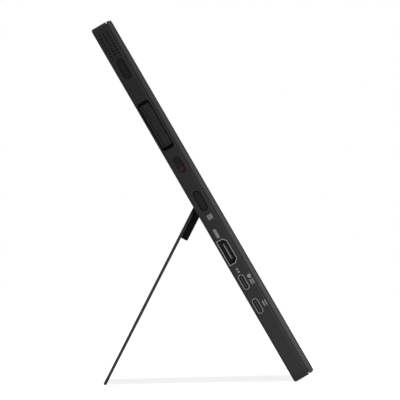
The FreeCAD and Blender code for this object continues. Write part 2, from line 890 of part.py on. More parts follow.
def speaker_pieces():
    above, below = hole_rows()
    right_wall = half_width - side_wall
    right_inner = right_wall - (control_board_left - left_wall)
    return {
        "left_speaker_upper": speaker(above, left_wall, control_board_left),
        "left_speaker_lower": speaker(below, left_wall, control_board_left),
        "right_speaker": speaker(plain_rows(), right_wall, right_inner),
    }


def bent_lead(points):
    """Insulated wire along straight runs that are joined by tangent arcs."""
    start = points[0]
    edges = []
    for before, corner, after in zip(points, points[1:], points[2:]):
        back = (before - corner).normalize()
        ahead = (after - corner).normalize()
        first = corner + back * lead_bend
        last = corner + ahead * lead_bend
        towards = (back + ahead).normalize()
        middle = corner + towards * lead_bend * (math.sqrt(2) - 1)
        edges.append(Part.LineSegment(start, first).toShape())
        edges.append(Part.Arc(first, middle, last).toShape())
        start = last
    edges.append(Part.LineSegment(start, points[-1]).toShape())
    path = Part.Wire(edges)
    tangent = edges[0].tangentAt(edges[0].FirstParameter)
    section = Part.Wire(Part.makeCircle(lead_radius, points[0], tangent))
    return path.makePipeShell([section], True, False)


def lead_pieces():
    """Speaker leads: out of each speaker, along the back wall and up on to the main board."""
    lie = back_wall + lead_radius + slip
    above, _ = hole_rows()
    rows = plain_rows()
    left_start = control_board_left - slip
    right_start = half_width - side_wall - (control_board_left - left_wall) + slip
    left_x = control_board_right + lead_clear
    right_x = left_x + lead_pitch
    high = board_edges()[3]
    left_z, right_z = sum(above) / len(above), sum(rows) / len(rows)
    routes = {
        "left_speaker_lead": (left_start, left_x, left_z),
        "right_speaker_lead": (right_start, right_x, right_z),
    }
    leads = {}
    for name, (start, x, z) in routes.items():
        end = high - ribbon_inset
        leads[name] = bent_lead([at(start, lie, z), at(x, lie, z), at(x, lie, end), at(x, board_back, end)])
    return leads


def hinge_screw_places(centre):
    """(x, height) of the screw in each ear's foot."""
    reach = ear_far + ear_foot_length / 2
    z = hinge_rise - (ear_foot_drop - barrel_radius) / 2
    return [(centre - reach, z), (centre + reach, z)]


def hinge_ear(centre, side):
    """Post with a round eye for the pin, on a foot that is screwed to the pocket floor."""
    near, far = sorted((centre + side * ear_near, centre + side * ear_far))
    foot0, foot1 = sorted((centre + side * ear_near, centre + side * (ear_far + ear_foot_length)))
    low, high = hinge_rise - barrel_radius, hinge_rise + barrel_radius
    ear = rod(hinge_depth, hinge_rise, barrel_radius, near, far)
    ear = ear.fuse([block(near, far, hinge_depth, pocket_depth, low, high),
                    block(foot0, foot1, pocket_depth - ear_foot_thickness, pocket_depth,
                          hinge_rise - ear_foot_drop, high)])
    cuts = [rod(hinge_depth, hinge_rise, hinge_pin_radius + slip, near - overrun, far + overrun)]
    cuts += [post(x, z, hinge_screw_radius + slip, 0, pocket_depth + overrun)
             for x, z in hinge_screw_places(centre)]
    return ear.cut(cuts).removeSplitter()


def hinge_pin(centre, side):
    """Headed pin: the head is inboard, the lock nut goes on the outboard end."""
    head = centre - side * (ear_far + slip)
    head_end = head - side * hinge_head_length
    tip = centre + side * (ear_far + slip + hinge_nut_length)
    shank = rod(hinge_depth, hinge_rise, hinge_pin_radius, *sorted((head, tip)))
    return shank.fuse(rod(hinge_depth, hinge_rise, hinge_head_radius, *sorted((head, head_end))))


def hinge_nut(centre, side):
    """Six-sided lock nut on the pin's outboard end."""
    near = centre + side * (ear_far + slip)
    x0, x1 = sorted((near, near + side * hinge_nut_length))
    sides = 6
    points = []
    for i in range(sides):
        angle = 2 * math.pi * i / sides
        points.append((hinge_depth + hinge_head_radius * math.cos(angle),
                       hinge_rise + hinge_head_radius * math.sin(angle)))
    bore = rod(hinge_depth, hinge_rise, hinge_pin_radius + slip, x0 - overrun, x1 + overrun)
    return profile(points, x0, x1).cut(bore)


def friction_washer(centre, side):
    x0, x1 = sorted((centre + side * (block_half + slip), centre + side * (ear_near - slip)))
    ring = rod(hinge_depth, hinge_rise, washer_radius, x0, x1)
    return ring.cut(rod(hinge_depth, hinge_rise, hinge_pin_radius + slip, x0 - overrun, x1 + overrun))


def hinge_screws():
    head = pocket_depth - ear_foot_thickness
    return group([screw(x, z, hinge_screw_radius, head, head + hinge_screw_length, hinge_screw_head_radius,
                        head - hinge_screw_head_height, head)
                  for centre in hinge_centres for x, z in hinge_screw_places(centre)])


def hinge_pieces():
    """Fixed hinge hardware of both hinges; the outboard side is away from the middle."""
    pieces = {}
    washers, nuts = [], []
    for name, centre in zip(("left", "right"), hinge_centres):
        side = math.copysign(1, centre)
        pieces["hinge_ear_%s_outer" % name] = hinge_ear(centre, side)
        pieces["hinge_ear_%s_inner" % name] = hinge_ear(centre, -side)
        pieces["hinge_pin_%s" % name] = hinge_pin(centre, side)
        nuts.append(hinge_nut(centre, side))
        washers += [friction_washer(centre, -1), friction_washer(centre, 1)]
    pieces["friction_washers"] = group(washers)
    pieces["hinge_lock_nuts"] = group(nuts)
    pieces["hinge_screws"] = hinge_screws()
    return pieces


def stand_screw_places(centre):
    z = hinge_rise - block_length / 2
    return [(centre - stand_screw_reach, z), (centre + stand_screw_reach, z)]


def stand_plate():
    """Sheet with a tab up to each hinge block and blind holes for the block screws."""
    low = foot_gap + foot_height
    plate = slab(-stand_half, stand_half, low, plate_top, plate_corner, plate_sink, plate_back)
    for centre in hinge_centres:
        plate = plate.fuse(block(centre - block_half, centre + block_half, plate_sink, plate_back,
                                 plate_top - plate_corner, tab_top))
    deep = plate_back - stand_screw_bite - slip
    holes = [post(x, z, stand_screw_radius + slip, deep, plate_back + overrun)
             for centre in hinge_centres for x, z in stand_screw_places(centre)]
    return plate.cut(holes).removeSplitter()


def stand_foot():
    """Rubber strip on the plate's lower edge, half round underneath."""
    radius = plate_thickness / 2
    x0, x1 = -stand_half + foot_inset, stand_half - foot_inset
    centre_depth, centre_rise = plate_sink + radius, foot_gap + radius
    strip = rod(centre_depth, centre_rise, radius, x0, x1)
    web = block(x0, x1, plate_sink, plate_back, centre_rise, foot_gap + foot_height)
    return strip.fuse(web).removeSplitter()


def hinge_block(centre):
    """Thick block behind the plate that ends in the barrel round the hinge pin."""
    low, high = hinge_rise - block_length, hinge_rise
    points = [
        (plate_sink, high),
        (plate_sink, tab_top),
        (plate_back, tab_top),
        (plate_back, low),
        (block_back - block_edge_radius, low),
        (block_back, low + block_edge_radius),
        (block_back, high - block_chamfer),
        (block_back - block_chamfer, high),
    ]
    x0, x1 = centre - block_half, centre + block_half
    solid = profile(points, x0, x1).fuse(rod(hinge_depth, hinge_rise, barrel_radius, x0, x1))
    cuts = [rod(hinge_depth, hinge_rise, hinge_pin_radius + hinge_pin_gap, x0 - overrun, x1 + overrun)]
    for x, z in stand_screw_places(centre):
        cuts.append(post(x, z, stand_screw_radius + slip, 0, block_back + overrun))
        cuts.append(post(x, z, stand_screw_head_radius + slip,
                         block_back - stand_screw_head_height - slip, block_back + overrun))
    return solid.cut(cuts).removeSplitter()


def stand_screws():
    head = block_back - stand_screw_head_height
    return group([screw(x, z, stand_screw_radius, plate_back - stand_screw_bite, head,
                        stand_screw_head_radius, head, block_back)
                  for centre in hinge_centres for x, z in stand_screw_places(centre)])


def stand_pieces():
    pieces = {"stand_plate": stand_plate(), "stand_foot": stand_foot(), "stand_screws": stand_screws()}
    for name, centre in zip(("left", "right"), hinge_centres):
        pieces["hinge_block_%s" % name] = hinge_block(centre)
    return pieces


def fixed_pieces():
    """Everything that stays with the monitor, and the caps at their resting place."""
    pieces = {
        "rear_housing": rear_housing(),
        "front_bezel": front_bezel(),
        "cover_glass": cover_glass(),
        "case_screws": case_screws(),
        "usb_upper_shell": usb_shell(usb_first_rise),
        "usb_upper_tongue": usb_tongue(usb_first_rise),
        "usb_lower_shell": usb_shell(usb_second_rise),
        "usb_lower_tongue": usb_tongue(usb_second_rise),
        "control_board": control_board(),
        "control_ribbon": control_ribbon(),
        "top_button": push_button(top_button_rise, True),
        "top_switch_plunger": switch_plunger(top_button_rise),
        "top_switch": switch_base(top_button_rise),
        "menu_button": push_button(menu_rise, False),
        "menu_switch_plunger": switch_plunger(menu_rise),
        "menu_switch": switch_base(menu_rise),
        "rocker_key": rocker_key(),
        "rocker_bracket": rocker_bracket(),
        "rocker_pin": rocker_pin(),
        "rocker_switches": rocker_switches(),
        "slide_knob": slide_knob(),
        "slide_red_mark": red_mark(),
        "slide_switch": slide_switch(),
    }
    for more in (display_pieces(), main_board_pieces(), hdmi_pieces(), speaker_pieces(), lead_pieces(),
                 hinge_pieces()):
        pieces.update(more)
    return pieces


def swung(depth, z):
    """Where a (depth, height) point of the folded stand lies once the stand is open, as (y, z)."""
    angle = math.radians(open_angle)
    dy, dz = hinge_depth - depth, z - hinge_rise
    return (-hinge_depth + dy * math.cos(angle) - dz * math.sin(angle),
            hinge_rise + dy * math.sin(angle) + dz * math.cos(angle))


def standing_turn():
    """Angle about x, in degrees, that sets the body's lower rear edge and the foot on one floor."""
    foot_radius = plate_thickness / 2
    foot_y, foot_z = swung(plate_sink + foot_radius, foot_gap + foot_radius)
    across, rise = foot_y + back_edge_radius, foot_z - back_edge_radius
    slope = math.atan2(rise, across)
    tangent = math.acos((foot_radius - back_edge_radius) / math.hypot(across, rise))
    return 90 - math.degrees(slope + tangent)


def main():
    os.makedirs("parts", exist_ok=True)
    opened = FreeCAD.Placement(Vector(), FreeCAD.Rotation(Vector(1, 0, 0), open_angle),
                               at(0, hinge_depth, hinge_rise))
    leaned = FreeCAD.Placement(Vector(), FreeCAD.Rotation(Vector(1, 0, 0), standing_turn()))
    pieces = fixed_pieces()
    for name, shape in stand_pieces().items():
        shape.Placement = opened.multiply(shape.Placement)
        pieces[name] = shape
    for shape in pieces.values():
        shape.Placement = leaned.multiply(shape.Placement)
    reach = group(list(pieces.values())).optimalBoundingBox(False, False)
    settle = Vector(0, -(reach.YMin + reach.YMax) / 2, -reach.ZMin)
    for name, shape in pieces.items():
        shape.translate(settle)
        shape.exportStep(os.path.join("parts", name + ".step"))
    frame = FreeCAD.Placement(settle, FreeCAD.Rotation()).multiply(leaned)
    print("lean %.3f degrees, overall %.2f x %.2f x %.2f" % (
        -standing_turn(), reach.XLength, reach.YLength, reach.ZLength))
    pivot_x, pivot_depth = rocker_axis()
    places = {
        "stand hinge": at(0, hinge_depth, hinge_rise),
        "rocker pivot": at(pivot_x, pivot_depth, rocker_rise),
        "rear face": at(0, 0, (hinge_rise + body_height) / 2),
        "hdmi mouth": at(left_face, hdmi_depth, hdmi_rise),
        "usb upper mouth": at(left_face, usb_depth, usb_first_rise),
        "usb lower mouth": at(left_face, usb_depth, usb_second_rise),
    }
    for name, point in places.items():
        print(name, [round(value, 4) for value in frame.multVec(point)])
    for name, direction in (("back", Vector(0, 1, 0)), ("up", Vector(0, 0, 1))):
        print(name, [round(value, 6) for value in frame.Rotation.multVec(direction)])
    print("slide travel %.3f" % slider_places()[1])


main()
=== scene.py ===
# Portable monitor on its folding rear stand: finishes, printed marks, socket contacts, light and camera.
import json
import math

import bmesh
import bpy
import numpy as np
from mathutils import Matrix, Vector


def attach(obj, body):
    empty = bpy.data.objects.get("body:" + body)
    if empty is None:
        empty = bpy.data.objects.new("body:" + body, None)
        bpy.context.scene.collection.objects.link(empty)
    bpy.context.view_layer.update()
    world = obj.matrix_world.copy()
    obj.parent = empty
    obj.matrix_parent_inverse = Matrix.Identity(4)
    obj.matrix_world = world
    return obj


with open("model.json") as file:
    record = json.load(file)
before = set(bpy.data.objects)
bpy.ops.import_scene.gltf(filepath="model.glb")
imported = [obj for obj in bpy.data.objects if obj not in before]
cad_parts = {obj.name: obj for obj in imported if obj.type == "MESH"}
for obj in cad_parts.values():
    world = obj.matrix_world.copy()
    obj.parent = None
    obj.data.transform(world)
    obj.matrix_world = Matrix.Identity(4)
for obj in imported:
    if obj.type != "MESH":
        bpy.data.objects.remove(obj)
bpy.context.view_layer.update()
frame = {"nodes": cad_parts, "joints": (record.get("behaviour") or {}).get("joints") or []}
nodes = frame["nodes"]
scene = bpy.context.scene
mm = 0.001

# The leaning body's own directions come from its joints: the rocker tilts about a line square to the
# screen, and the power slider runs down along it.
joints = {joint["name"]: joint for joint in frame["joints"]}
backAxis = np.array(joints["rocker_tilt"]["axis"], float)
upAxis = -np.array(joints["power_slide"]["axis"], float)
rightAxis = np.array((1.0, 0.0, 0.0))


# The points of a node's mesh at rest, one row each.
def nodePoints(name):
    mesh = nodes[name].data
    flat = np.empty(3 * len(mesh.vertices), np.float32)
    mesh.vertices.foreach_get("co", flat)
    return flat.reshape(-1, 3).astype(float)


housingPoints = nodePoints("rear_housing")
flatBack = (housingPoints @ backAxis).max()
lowerEnd = (housingPoints @ upAxis).min()
leftFace = housingPoints[:, 0].min()
outward = -rightAxis  # from the left side, which carries the controls
forward = -backAxis


# x to the right, depth forward from the flat back and rise up from the lower end, all in metres;
# the sum of the three axes, each times its distance, is the place in the shared frame.
def onBody(x, depth, rise):
    x, depth, rise = np.broadcast_arrays(x, depth, rise)
    return (x[..., None] * rightAxis + (flatBack - depth)[..., None] * backAxis
            + (lowerEnd + rise)[..., None] * upAxis)


# The other way round: x, depth and rise of points in the shared frame.
def bodyPlaces(points):
    return points[:, 0], flatBack - points @ backAxis, points @ upAxis - lowerEnd


# Shader helpers.

displayCurve = {"top": 255, "footEnd": 0.04045, "footSlope": 12.92, "offset": 0.055, "power": 2.4}


# Linear light of a display level: a straight foot, and above it an offset power curve.
def display(level):
    share, offset = level / displayCurve["top"], displayCurve["offset"]
    if share <= displayCurve["footEnd"]:
        return share / displayCurve["footSlope"]
    return ((share + offset) / (1 + offset)) ** displayCurve["power"]


# A colour from three display levels, or a grey from one.
def tone(red, green=None, blue=None):
    levels = (red, red if green is None else green, red if blue is None else blue)
    return (*[display(level) for level in levels], 1.0)


# A shader node with its settings; an input takes a value or another node's output.
def addNode(tree, kind, inputs=None, **settings):
    node = tree.nodes.new("ShaderNode" + kind)
    for key, value in settings.items():
        setattr(node, key, value)
    for key, value in (inputs or {}).items():
        if isinstance(value, bpy.types.NodeSocket):
            tree.links.new(value, node.inputs[key])
        else:
            node.inputs[key].default_value = value
    return node


def maths(tree, operation, first, second=0.0, third=0.0):
    return addNode(tree, "Math", {0: first, 1: second, 2: third}, operation=operation).outputs[0]


# A smooth step: lowest where the value is low, highest where it is high, and level beyond both ends.
def between(tree, value, low, high, lowest=0.0, highest=1.0):
    inputs = {"Value": value, "From Min": low, "From Max": high, "To Min": lowest, "To Max": highest}
    return addNode(tree, "MapRange", inputs, interpolation_type="SMOOTHSTEP").outputs[0]


# The Mix node numbers its inputs and outputs by the kind of data that it mixes.
def blendColour(tree, share, first, second):
    return addNode(tree, "Mix", {0: share, 6: first, 7: second}, data_type="RGBA").outputs[2]


def mixValue(tree, share, first, second):
    return addNode(tree, "Mix", {0: share, 2: first, 3: second}, data_type="FLOAT").outputs[0]


# The place on the part in units of the pattern's size, drawn out where the stretch is below 1.
def objectPlace(tree, size, stretch=(1, 1, 1)):
    place = addNode(tree, "TexCoord").outputs["Object"]
    drawn = addNode(tree, "VectorMath", {0: place, 1: stretch}, operation="MULTIPLY").outputs[0]
    return addNode(tree, "VectorMath", {0: drawn, 1: size}, operation="DIVIDE").outputs[0]


def noiseAt(tree, place, detail):
    return addNode(tree, "TexNoise", {"Vector": place, "Scale": 1.0, "Detail": detail}).outputs[0]


def dotProduct(tree, first, second):
    return addNode(tree, "VectorMath", {0: first, 1: second}, operation="DOT_PRODUCT").outputs["Value"]


def startGroup(name, inputs, outputs):
    group = bpy.data.node_groups.new(name, "ShaderNodeTree")
    for label, kind, value in inputs:
        socket = group.interface.new_socket(label, in_out="INPUT", socket_type="NodeSocket" + kind)
        socket.default_value = value
    for label, kind in outputs:
        group.interface.new_socket(label, in_out="OUTPUT", socket_type="NodeSocket" + kind)
    return group, group.nodes.new("NodeGroupInput").outputs, group.nodes.new("NodeGroupOutput").inputs


def sizeVector(tree, size):
    return addNode(tree, "CombineXYZ", {0: size, 1: size, 2: size}).outputs[0]


# The shared effects' own measures; each material gives the sizes and amounts.
effects = {
    "grain": {"detail": 3.0, "pitScale": 0.6, "fleckStep": (0.38, 0.62)},
    "tone": {"detail": 2.0, "step": (0.3, 0.7)},
    "wearAndHighlight": {"samples": 4, "turned": (0.995, 0.9), "patch": 4 * mm, "detail": 4.0,
             "step": (0.35, 0.65), "least": 0.25},
    "brush": {"draw": 0.006, "detail": 4.0},
    "paintedShade": {"samples": 6},
}


# Height = noise at the grain's size plus a share of round pits, larger than it by one over their scale;
# Fleck is the same noise pushed to the two ends of its range.
def grainGroup(own):
    group, given, out = startGroup("fine_grain", [("Size", "Float", 0.3 * mm), ("Pits", "Float", 0.4)],
                                   [("Height", "Float"), ("Fleck", "Float")])
    place = objectPlace(group, sizeVector(group, given["Size"]))
    noise = noiseAt(group, place, own["detail"])
    cells = addNode(group, "TexVoronoi", {"Vector": place, "Scale": own["pitScale"]}, feature="SMOOTH_F1")
    group.links.new(maths(group, "MULTIPLY_ADD", cells.outputs[0], given["Pits"], noise), out["Height"])
    group.links.new(between(group, noise, *own["fleckStep"]), out["Fleck"])
    return group


# Color = the given colour times 1 plus or minus the spread, following broad noise;
# Patch is that noise from 0 to 1, for the roughness to follow.
def toneGroup(own):
    inputs = [("Color", "Color", (0.5, 0.5, 0.5, 1)), ("Size", "Float", 30 * mm), ("Spread", "Float", 0.1)]
    group, given, out = startGroup("broad_tone", inputs, [("Color", "Color"), ("Patch", "Float")])
    noise = noiseAt(group, objectPlace(group, sizeVector(group, given["Size"])), own["detail"])
    patch = between(group, noise, *own["step"])
    swing = maths(group, "MULTIPLY_ADD", patch, 2.0, -1.0)  # from 0 to 1 made -1 to 1
    factor = maths(group, "MULTIPLY_ADD", swing, given["Spread"], 1.0)
    scaled = addNode(group, "VectorMath", {0: given["Color"], "Scale": factor}, operation="SCALE").outputs[0]
    group.links.new(scaled, out["Color"])
    group.links.new(patch, out["Patch"])
    return group


# Mask = how far a rounded normal turns from the true one, which is large only along edges, times patchy
# noise so that the rub comes and goes, times the amount; the lighter edge it gives is both rubbed wear and a
# painted highlight where edges catch light.
def wearAndHighlightGroup(own):
    group, given, out = startGroup("edge_wear_and_highlight", [("Radius", "Float", 0.3 * mm), ("Amount", "Float", 0.5)],
                                   [("Mask", "Float")])
    rounded = addNode(group, "Bevel", {"Radius": given["Radius"]}, samples=own["samples"]).outputs[0]
    trueNormal = addNode(group, "NewGeometry").outputs["Normal"]
    edge = between(group, dotProduct(group, rounded, trueNormal), *own["turned"])
    noise = noiseAt(group, objectPlace(group, (own["patch"],) * 3), own["detail"])
    patchy = between(group, noise, *own["step"], own["least"])
    rubbed = maths(group, "MULTIPLY", edge, patchy)
    group.links.new(maths(group, "MULTIPLY", rubbed, given["Amount"]), out["Mask"])
    return group


# Height = noise drawn out along the width of the part, so it reads as fine straight brush lines.
def brushGroup(own):
    group, given, out = startGroup("brush_lines", [("Size", "Float", 0.2 * mm)], [("Height", "Float")])
    place = objectPlace(group, sizeVector(group, given["Size"]), stretch=(own["draw"], 1.0, 1.0))
    group.links.new(noiseAt(group, place, own["detail"]), out["Height"])
    return group


# Mask = the share of the sky that near surfaces hide, within the reach, times the amount; it is large in
# gaps, grooves and holes, where it darkens the colour as painted shade.
def paintedShadeGroup(own):
    group, given, out = startGroup("painted_crevice_shade", [("Reach", "Float", 1.0 * mm), ("Amount", "Float", 0.7)],
                                   [("Mask", "Float")])
    sky = addNode(group, "AmbientOcclusion", {"Distance": given["Reach"]}, samples=own["samples"])
    hidden = maths(group, "SUBTRACT", 1.0, sky.outputs["AO"])
    group.links.new(maths(group, "MULTIPLY", hidden, given["Amount"]), out["Mask"])
    return group


groupMakers = {"grain": grainGroup, "tone": toneGroup, "wearAndHighlight": wearAndHighlightGroup, "brush": brushGroup,
               "paintedShade": paintedShadeGroup}
shared = {key: make(effects[key]) for key, make in groupMakers.items()}


def placeGroup(tree, key, values):
    return addNode(tree, "Group", values, node_tree=shared[key]).outputs


plainLook = {"metal": 0.0, "pits": 0.4}  # where a look doesn't say
# the colour of the painted shade laid in gaps, grooves and holes
paintedShadeColour = tone(9)
grazing = {"roughness": 0.8, "facing": (0.3, 0.75), "blend": 0.5}  # texture loses its gloss at a low angle


# One solid finish: colour with broad tone and flecks, lighter edges that are both rubbed wear and a painted
# highlight, painted shade in gaps, roughness that follows the tone, and grain or brush lines as bump.
# Returns the material, its tree and its shader.
def solidFinish(name, look):
    material = bpy.data.materials.new(name)
    material.use_nodes = True
    tree = material.node_tree
    shader = tree.nodes["Principled BSDF"]
    shader.inputs["Metallic"].default_value = look.get("metal", plainLook["metal"])
    shader.inputs["Specular IOR Level"].default_value = look["specular"]
    broad = placeGroup(tree, "tone", {"Color": look["colour"], "Size": look["toneSize"],
                                      "Spread": look["toneSpread"]})
    grain = placeGroup(tree, "grain", {"Size": look["grainSize"],
                                       "Pits": look.get("pits", plainLook["pits"])})
    flecks = maths(tree, "MULTIPLY", grain["Fleck"], look["fleck"])
    colour = blendColour(tree, flecks, broad["Color"], look["fleckColour"])
    # rubbed wear and a painted highlight along the edges
    if "wearAndHighlight" in look:
        wearAndHighlight = placeGroup(tree, "wearAndHighlight", {"Radius": look["wearHighlightRadius"], "Amount": look["wearAndHighlight"]})
        colour = blendColour(tree, wearAndHighlight["Mask"], colour, look["wearHighlightColour"])
    # painted shade: the colour darkens in gaps, grooves and holes, where real shade falls
    if "paintedShade" in look:
        paintedShadeMask = placeGroup(tree, "paintedShade", {"Reach": look["paintedShadeReach"], "Amount": look["paintedShade"]})
        colour = blendColour(tree, paintedShadeMask["Mask"], colour, paintedShadeColour)
    tree.links.new(colour, shader.inputs["Base Color"])
    low, high = look["roughness"]
    gloss = between(tree, broad["Patch"], 0.0, 1.0, low, high)
    if "metal" not in look:
        facing = addNode(tree, "LayerWeight", {"Blend": grazing["blend"]}).outputs["Facing"]
        gloss = mixValue(tree, between(tree, facing, *grazing["facing"]), gloss, grazing["roughness"])
    tree.links.new(gloss, shader.inputs["Roughness"])
    height = grain["Height"]
    if "brushSize" in look:
        lines = placeGroup(tree, "brush", {"Size": look["brushSize"]})
        height = maths(tree, "MULTIPLY_ADD", height, look["grainShare"], lines["Height"])
    bump = addNode(tree, "Bump", {"Height": height, "Strength": look["bump"], "Distance": look["bumpDepth"]})
    tree.links.new(bump.outputs[0], shader.inputs["Normal"])
    return material, tree, shader


# Another colour laid over the finish where the mask is 1.
def layOver(tree, shader, mask, colour):
    under = shader.inputs["Base Color"].links[0].from_socket
    tree.links.new(blendColour(tree, mask, under, colour), shader.inputs["Base Color"])


# Finishes, one dictionary each. Lengths are in metres; tone() takes display levels.

housingLook = {
    "colour": tone(32.5), "specular": 0.09, "roughness": (0.46, 0.49),
    "toneSize": 0.045, "toneSpread": 0.03,
    "grainSize": 0.00042, "pits": 0.5, "fleck": 0.6, "fleckColour": tone(42),
    "wearAndHighlight": 0.6, "wearHighlightRadius": 0.0004, "wearHighlightColour": tone(66),
    "paintedShade": 0.85, "paintedShadeReach": 0.0012,
    "bump": 0.45, "bumpDepth": 0.00005,
    "rimHighlightColour": tone(47), "rimStart": 1.5 * mm, "rimEnd": 0.0,
}
bezelLook = {
    "colour": tone(46), "specular": 0.11, "roughness": (0.36, 0.4),
    "toneSize": 0.03, "toneSpread": 0.03,
    "grainSize": 0.0003, "fleck": 0.35, "fleckColour": tone(54),
    "wearAndHighlight": 0.3, "wearHighlightRadius": 0.0002, "wearHighlightColour": tone(80),
    "paintedShade": 0.95, "paintedShadeReach": 0.0014,
    "bump": 0.2, "bumpDepth": 0.00003,
    "rimHighlightColour": tone(63), "rimStart": 2.1 * mm, "rimEnd": 0.7 * mm,
}
standLook = {
    "colour": tone(46), "specular": 0.16, "roughness": (0.42, 0.45),
    "toneSize": 0.05, "toneSpread": 0.03,
    "grainSize": 0.00025, "pits": 0.3, "fleck": 0.2, "fleckColour": tone(57),
    "wearAndHighlight": 0.6, "wearHighlightRadius": 0.0003, "wearHighlightColour": tone(92),
    "brushSize": 0.00022, "grainShare": 0.3, "paintedShade": 0.7, "paintedShadeReach": 0.0015,
    "bump": 0.3, "bumpDepth": 0.00004,
}
hingeBlockLook = {
    "colour": tone(21), "specular": 0.14, "roughness": (0.5, 0.6),
    "toneSize": 0.012, "toneSpread": 0.08,
    "grainSize": 0.00035, "pits": 0.6, "fleck": 0.2, "fleckColour": tone(30),
    "wearAndHighlight": 0.35, "wearHighlightRadius": 0.0002, "wearHighlightColour": tone(48),
    "paintedShade": 0.7, "paintedShadeReach": 0.0015,
    "bump": 0.4, "bumpDepth": 0.00005,
}
buttonLook = {
    "colour": tone(25), "specular": 0.07, "roughness": (0.4, 0.44),
    "toneSize": 0.008, "toneSpread": 0.06,
    "grainSize": 0.00018, "fleck": 0.2, "fleckColour": tone(32),
    "wearAndHighlight": 0.6, "wearHighlightRadius": 0.00025, "wearHighlightColour": tone(64),
    "paintedShade": 0.9, "paintedShadeReach": 0.0008,
    "bump": 0.25, "bumpDepth": 0.00003,
}
keyLook = {
    "colour": tone(31), "specular": 0.09, "roughness": (0.36, 0.44),
    "toneSize": 0.009, "toneSpread": 0.3,
    "grainSize": 0.00018, "fleck": 0.2, "fleckColour": tone(42),
    "wearAndHighlight": 0.6, "wearHighlightRadius": 0.00025, "wearHighlightColour": tone(72),
    "paintedShade": 2.4, "paintedShadeReach": 0.0009,
    "bump": 0.25, "bumpDepth": 0.00003,
}
knobLook = {
    **buttonLook, "colour": tone(24), "fleckColour": tone(32), "paintedShade": 2.2, "wearHighlightColour": tone(68),
}
bracketLook = {
    "colour": tone(24), "specular": 0.05, "roughness": (0.6, 0.7),
    "toneSize": 0.004, "toneSpread": 0.1,
    "grainSize": 0.0002, "fleck": 0.2, "fleckColour": tone(29),
    "paintedShade": 0.95, "paintedShadeReach": 0.003,
    "bump": 0.2, "bumpDepth": 0.00003,
}
redLook = {
    "colour": tone(64, 33, 36), "specular": 0.1, "roughness": (0.4, 0.5),
    "toneSize": 0.004, "toneSpread": 0.08,
    "grainSize": 0.00015, "fleck": 0.2, "fleckColour": tone(58, 28, 31),
    "bump": 0.2, "bumpDepth": 0.00002,
}
rubberLook = {
    "colour": tone(54), "specular": 0.12, "roughness": (0.72, 0.85),
    "toneSize": 0.01, "toneSpread": 0.12,
    "grainSize": 0.0004, "pits": 0.8, "fleck": 0.3, "fleckColour": tone(64),
    "wearAndHighlight": 0.4, "wearHighlightRadius": 0.0002, "wearHighlightColour": tone(78),
    "bump": 0.5, "bumpDepth": 0.00006,
}
steelLook = {
    "colour": tone(172, 174, 178), "metal": 1.0, "specular": 0.5, "roughness": (0.26, 0.36),
    "toneSize": 0.004, "toneSpread": 0.08,
    "grainSize": 0.00012, "fleck": 0.3, "fleckColour": tone(150, 152, 156),
    "wearAndHighlight": 0.5, "wearHighlightRadius": 0.00015, "wearHighlightColour": tone(214, 215, 218),
    "bump": 0.15, "bumpDepth": 0.00002,
}
darkSteelLook = {
    "colour": tone(74, 75, 78), "metal": 1.0, "specular": 0.5, "roughness": (0.34, 0.44),
    "toneSize": 0.004, "toneSpread": 0.08,
    "grainSize": 0.00012, "fleck": 0.3, "fleckColour": tone(60, 61, 64),
    "wearAndHighlight": 0.5, "wearHighlightRadius": 0.00015, "wearHighlightColour": tone(120, 121, 124),
    "paintedShade": 0.5, "paintedShadeReach": 0.001,
    "bump": 0.15, "bumpDepth": 0.00002,
}
socketLook = {
    "colour": tone(142, 143, 146), "metal": 1.0, "specular": 0.5, "roughness": (0.28, 0.36),
    "toneSize": 0.003, "toneSpread": 0.06,
    "grainSize": 0.0001, "fleck": 0.2, "fleckColour": tone(128, 129, 132),
    "wearAndHighlight": 0.4, "wearHighlightRadius": 0.0001, "wearHighlightColour": tone(172, 173, 176),
    "paintedShade": 0.6, "paintedShadeReach": 0.004,
    "bump": 0.1, "bumpDepth": 0.00002,
}
insulatorLook = {
    "colour": tone(44), "specular": 0.15, "roughness": (0.4, 0.5),
    "toneSize": 0.003, "toneSpread": 0.1,
    "grainSize": 0.00015, "fleck": 0.2, "fleckColour": tone(54),
    "wearAndHighlight": 0.5, "wearHighlightRadius": 0.00015, "wearHighlightColour": tone(100),
    "bump": 0.2, "bumpDepth": 0.00003,
}
videoTongueLook = {**insulatorLook, "colour": tone(34), "fleckColour": tone(42), "wearHighlightColour": tone(60)}
contactLook = {
    "colour": tone(182, 146, 80), "metal": 1.0, "specular": 0.5, "roughness": (0.26, 0.34),
    "toneSize": 0.001, "toneSpread": 0.08,
    "grainSize": 0.00008, "fleck": 0.2, "fleckColour": tone(164, 126, 62),
    "bump": 0.1, "bumpDepth": 0.00001,
}
inkLook = {
    "colour": tone(113), "specular": 0.15, "roughness": (0.5, 0.6),
    "toneSize": 0.002, "toneSpread": 0.06,
    "grainSize": 0.0001, "fleck": 0.25, "fleckColour": tone(98),
    "bump": 0.2, "bumpDepth": 0.00001,
}
componentLook = {
    "colour": tone(28), "specular": 0.25, "roughness": (0.5, 0.6),
    "toneSize": 0.006, "toneSpread": 0.1,
    "grainSize": 0.00012, "fleck": 0.3, "fleckColour": tone(40),
    "wearAndHighlight": 0.3, "wearHighlightRadius": 0.0001, "wearHighlightColour": tone(58),
    "bump": 0.2, "bumpDepth": 0.00002,
}
filmLook = {
    "colour": tone(226, 228, 230), "specular": 0.4, "roughness": (0.4, 0.5),
    "toneSize": 0.05, "toneSpread": 0.03,
    "grainSize": 0.0002, "fleck": 0.15, "fleckColour": tone(210, 213, 216),
    "bump": 0.1, "bumpDepth": 0.00002,
}
leadLook = {
    "colour": tone(40), "specular": 0.3, "roughness": (0.4, 0.5),
    "toneSize": 0.01, "toneSpread": 0.08,
    "grainSize": 0.0002, "fleck": 0.2, "fleckColour": tone(54),
    "bump": 0.2, "bumpDepth": 0.00002,
}


